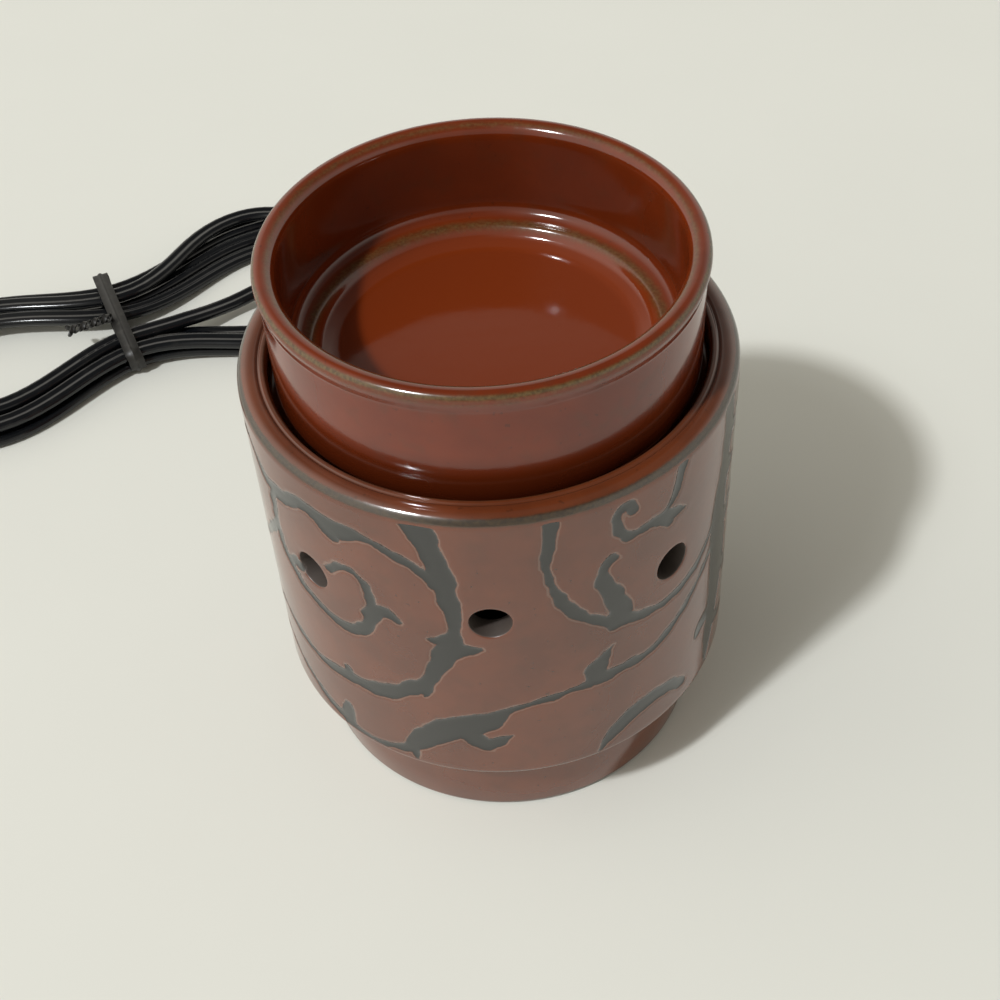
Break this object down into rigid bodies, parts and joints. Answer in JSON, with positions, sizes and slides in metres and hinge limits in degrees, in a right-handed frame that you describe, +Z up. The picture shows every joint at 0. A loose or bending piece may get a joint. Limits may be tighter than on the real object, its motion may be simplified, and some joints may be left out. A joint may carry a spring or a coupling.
{
  "type": "electric wax warmer",
  "caption": "Bulb-heated wax warmer: glazed round body with vents and a vine ornament, lift-out stepped dish, lamp inside, and a switched cord tied in a hank.",
  "frame": {"origin": "centre of the foot on the table", "axes": "+Z up along the body's axis, -Y towards the front, +Y towards the cord's exit"},
  "size_m": [0.2663, 0.297, 0.1415],
  "materials": {
    "body_glaze": "gloss",
    "dish_glaze": "gloss",
    "base_black": "matte",
    "pad_rubber": "matte",
    "zinc_steel": "satin",
    "holder_phenolic": "satin",
    "gasket_fibre": "matte",
    "brass": "satin",
    "wire_black": "satin",
    "wire_white": "satin",
    "cord_pvc": "gloss",
    "tie_plastic": "satin",
    "switch_plastic": "satin",
    "rocker_plastic": "gloss",
    "lamp_glass": "polished",
    "lamp_black": "gloss",
    "filament_wire": "satin"
  },
  "bodies": {
    "base": {"warmer_body": "body_glaze", "base_plate": "base_black", "base_screw": "zinc_steel", "base_washer": "zinc_steel", "foot_pads": "pad_rubber", "lamp_holder": "holder_phenolic", "holder_gasket": "gasket_fibre", "holder_ring": "holder_phenolic", "screw_shell": "brass", "centre_contact": "brass", "terminal_screws": "zinc_steel", "ring_terminals": "brass", "live_wire": "wire_black", "neutral_wire": "wire_white", "inner_cord": "cord_pvc", "strain_relief": "cord_pvc", "cord_lead": "cord_pvc", "cord_run": "cord_pvc", "cord_hank": "cord_pvc", "cord_tail": "cord_pvc", "cord_tie": "tie_plastic", "switch_base": "switch_plastic", "switch_cover": "switch_plastic", "rocker_pin": "zinc_steel", "switch_contacts": "brass", "switch_link": "wire_white", "switch_screws": "zinc_steel", "plug_body": "cord_pvc", "plug_blades": "brass"},
    "dish": {"wax_dish": "dish_glaze"},
    "bulb_foot": {"bulb_insulator": "lamp_black", "bulb_tip": "zinc_steel"},
    "bulb": {"bulb_cap": "brass", "bulb_glass": "lamp_glass", "bulb_stem": "lamp_glass", "bulb_leads": "zinc_steel", "filament": "filament_wire"},
    "rocker": {"switch_rocker": "rocker_plastic", "contact_bridge": "brass"}
  },
  "joints": [
    {"name": "dish_lift", "type": "slide", "parent": "base", "child": "dish", "axis": [0, 0, 1], "range_m": [0, 0.06]},
    {"name": "bulb_rise", "type": "slide", "parent": "base", "child": "bulb_foot", "axis": [0, 0, 1], "range_m": [0, 0.0128]},
    {"name": "bulb_turn", "type": "hinge", "parent": "bulb_foot", "child": "bulb", "pos_m": [0, 0, 0.05], "axis": [0, 0, 1], "range_deg": [0, 1800]},
    {"name": "switch_rock", "type": "hinge", "parent": "base", "child": "rocker", "pos_m": [0.028, 0.168, 0.0128], "axis": [-1, 0, 0], "range_deg": [0, 20]}
  ],
  "couplings": [
    {"joint": "bulb_rise", "follows": "bulb_turn", "m_per_rad": 0.00040425}
  ]
}
